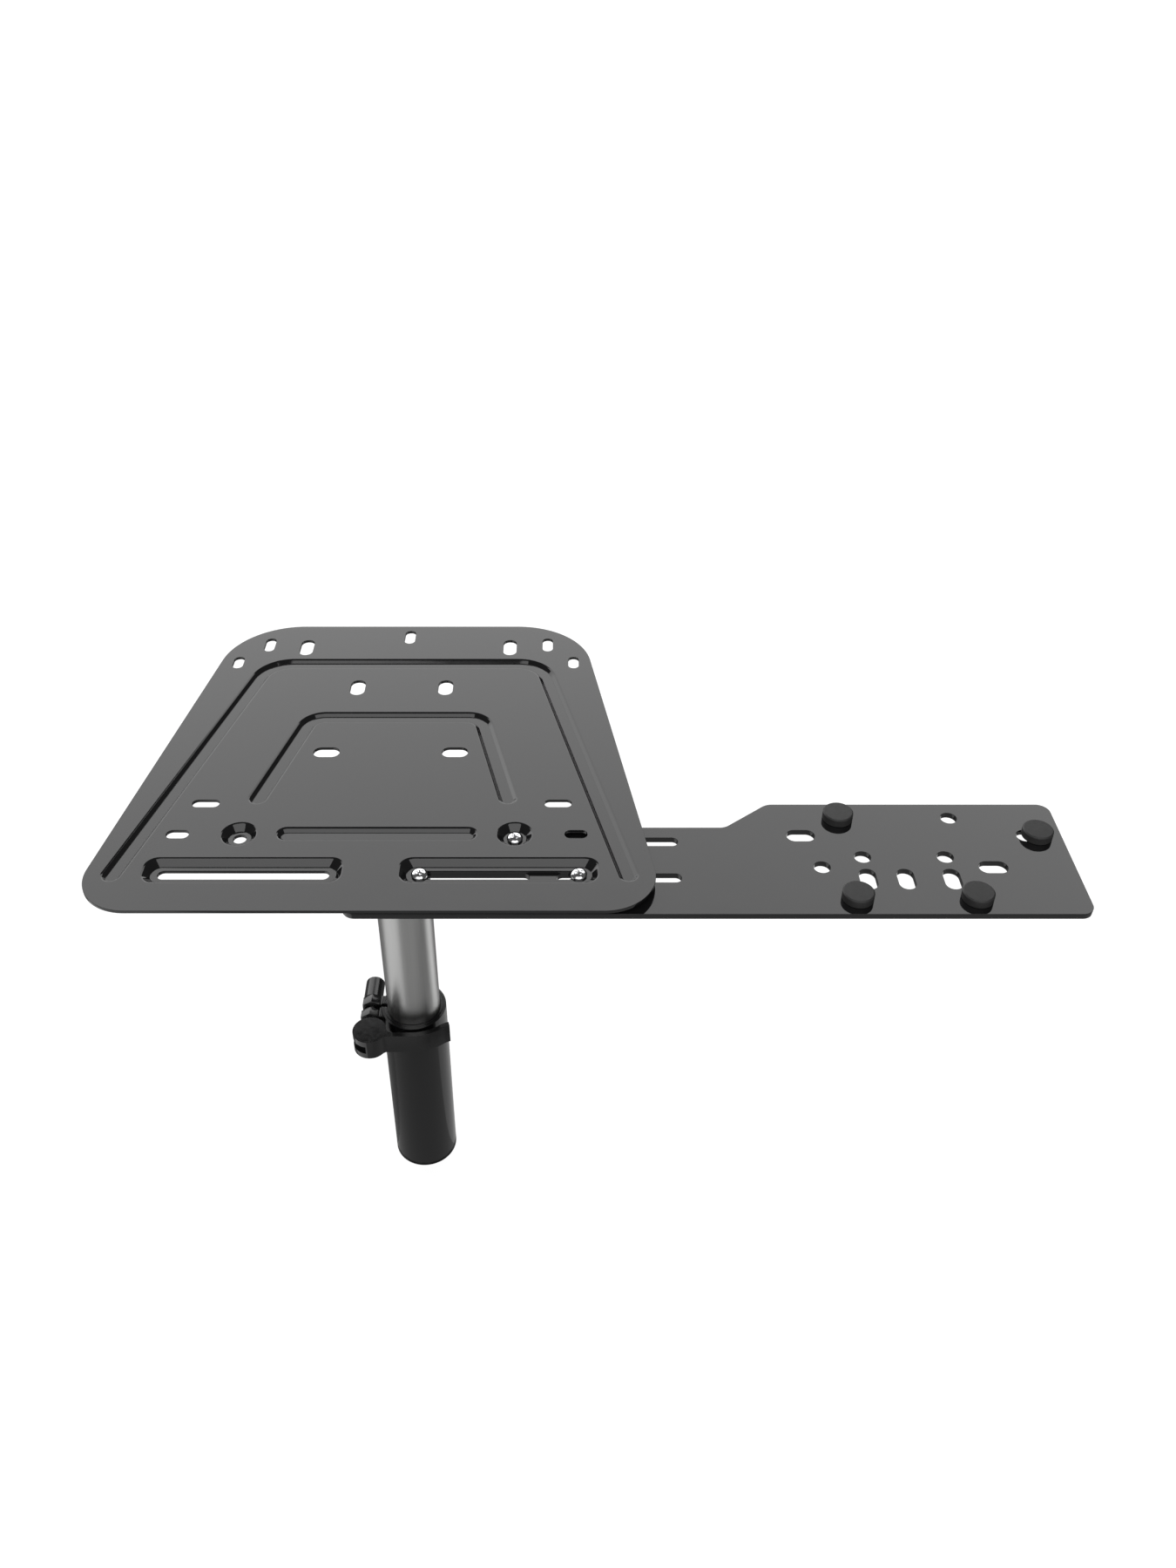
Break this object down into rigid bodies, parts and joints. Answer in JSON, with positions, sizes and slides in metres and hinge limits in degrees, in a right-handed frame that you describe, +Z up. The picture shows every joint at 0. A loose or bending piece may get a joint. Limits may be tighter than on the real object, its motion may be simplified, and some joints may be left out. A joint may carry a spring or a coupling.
{
  "type": "racing wheel stand head",
  "caption": "Pressed black wheel plate with a sliding shifter plate beside it, on a round post held in a lower tube by a quick lever clamp.",
  "frame": {"origin": "centre of the lower tube's bottom end", "axes": "+Z up along the post, +X towards the shifter plate, +Y away from the driver"},
  "size_m": [0.6089, 0.3202, 0.416],
  "materials": {
    "tube_black": "satin black paint",
    "liner_plastic": "matt black plastic",
    "clamp_black": "satin black",
    "bolt_steel": "plain zinc steel",
    "lever_black": "satin black",
    "post_steel": "satin silver",
    "frame_black": "satin black paint",
    "plate_gloss": "gloss black coat",
    "screw_chrome": "bright chrome",
    "bumper_rubber": "matt black rubber"
  },
  "bodies": {
    "stand": {"lower_tube": "tube_black", "tube_liner": "liner_plastic", "clamp_web_front": "clamp_black", "clamp_web_back": "clamp_black", "clamp_hex_front": "clamp_black", "clamp_hex_back": "clamp_black", "clamp_bolt": "bolt_steel", "clamp_cap_nut": "clamp_black", "cam_washer": "clamp_black"},
    "lever": {"cam_lever": "lever_black", "cam_pin": "bolt_steel"},
    "post_foot": {"post_foot_plug": "liner_plastic"},
    "deck": {"post": "post_steel", "post_flange": "frame_black", "post_gusset_1": "frame_black", "post_gusset_2": "frame_black", "post_gusset_3": "frame_black", "post_gusset_4": "frame_black", "wheel_plate": "plate_gloss", "deck_screw_left": "screw_chrome", "deck_screw_right": "screw_chrome", "deck_screw_rear": "screw_chrome", "deck_washer_left": "bolt_steel", "deck_washer_right": "bolt_steel", "deck_washer_rear": "bolt_steel", "deck_nut_left": "bolt_steel", "deck_nut_right": "bolt_steel", "deck_nut_rear": "bolt_steel"},
    "shifter": {"shifter_plate": "plate_gloss", "bumper_1": "bumper_rubber", "bumper_2": "bumper_rubber", "bumper_3": "bumper_rubber", "bumper_4": "bumper_rubber"}
  },
  "joints": [
    {"name": "lever_swing", "type": "hinge", "parent": "stand", "child": "lever", "pos_m": [-0.034, -0.02755, 0.163], "axis": [0, 0, 1], "range_deg": [-130, 0]},
    {"name": "post_height", "type": "slide", "parent": "stand", "child": "post_foot", "axis": [0, 0, 1], "range_m": [-0.055, 0.047]},
    {"name": "post_swivel", "type": "hinge", "parent": "post_foot", "child": "deck", "pos_m": [0, 0, 0.068], "axis": [0, 0, 1], "range_deg": [-180, 180]},
    {"name": "shifter_slide", "type": "slide", "parent": "deck", "child": "shifter", "axis": [1, 0, 0], "range_m": [-0.055, 0.005]}
  ]
}
